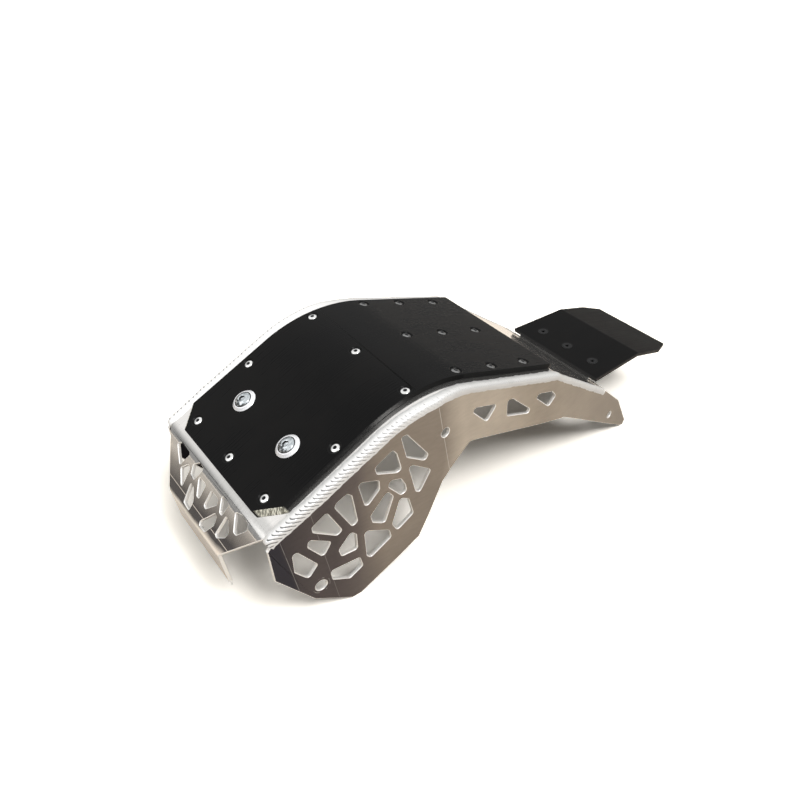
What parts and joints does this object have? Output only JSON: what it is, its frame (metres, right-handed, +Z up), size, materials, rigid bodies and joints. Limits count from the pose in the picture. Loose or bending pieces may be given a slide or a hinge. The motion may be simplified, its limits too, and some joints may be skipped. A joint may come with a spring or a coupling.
{
  "type": "motorcycle skid plate",
  "caption": "Folded aluminium skid plate for an off-road motorcycle, with pierced side plates, rippled corner welds, a riveted plastic skid cover and a plastic linkage guard.",
  "frame": {"origin": "middle of the bounding box, on the ground on which the plate stands with its skid face up", "axes": "+X to the rear of the plate, +Y to the rider's left once the plate is fitted, +Z up from the ground, on the side of the skid face"},
  "size_m": [0.6422, 0.2322, 0.2074],
  "materials": {
    "aluminium": "brushed with the grain along the plate",
    "weld_bead": "bright rippled bead",
    "cover_plastic": "semi-gloss, fine sawn edges",
    "guard_plastic": "semi-gloss",
    "rivet_aluminium": "bright",
    "mandrel_steel": "dark broken steel",
    "screw_steel": "polished",
    "washer_steel": "polished",
    "nut_steel": "zinc plated",
    "black_steel": "black oxide"
  },
  "bodies": {
    "root": {"main_plate": "aluminium", "side_plate_right": "aluminium", "side_plate_left": "aluminium", "weld_right": "weld_bead", "weld_left": "weld_bead", "skid_cover": "cover_plastic", "linkage_guard": "guard_plastic", "rivets_row_1": "rivet_aluminium", "rivets_row_2": "rivet_aluminium", "rivets_row_3": "rivet_aluminium", "rivets_row_4": "rivet_aluminium", "rivets_row_5": "rivet_aluminium", "rivets_row_6": "rivet_aluminium", "mandrels_row_1": "mandrel_steel", "mandrels_row_2": "mandrel_steel", "mandrels_row_3": "mandrel_steel", "mandrels_row_4": "mandrel_steel", "mandrels_row_5": "mandrel_steel", "mandrels_row_6": "mandrel_steel", "front_screw_right": "screw_steel", "cup_washer_right": "washer_steel", "front_nut_right": "nut_steel", "front_screw_left": "screw_steel", "cup_washer_left": "washer_steel", "front_nut_left": "nut_steel", "guard_screws": "black_steel", "guard_washers": "washer_steel", "guard_nuts": "nut_steel"}
  },
  "joints": []
}
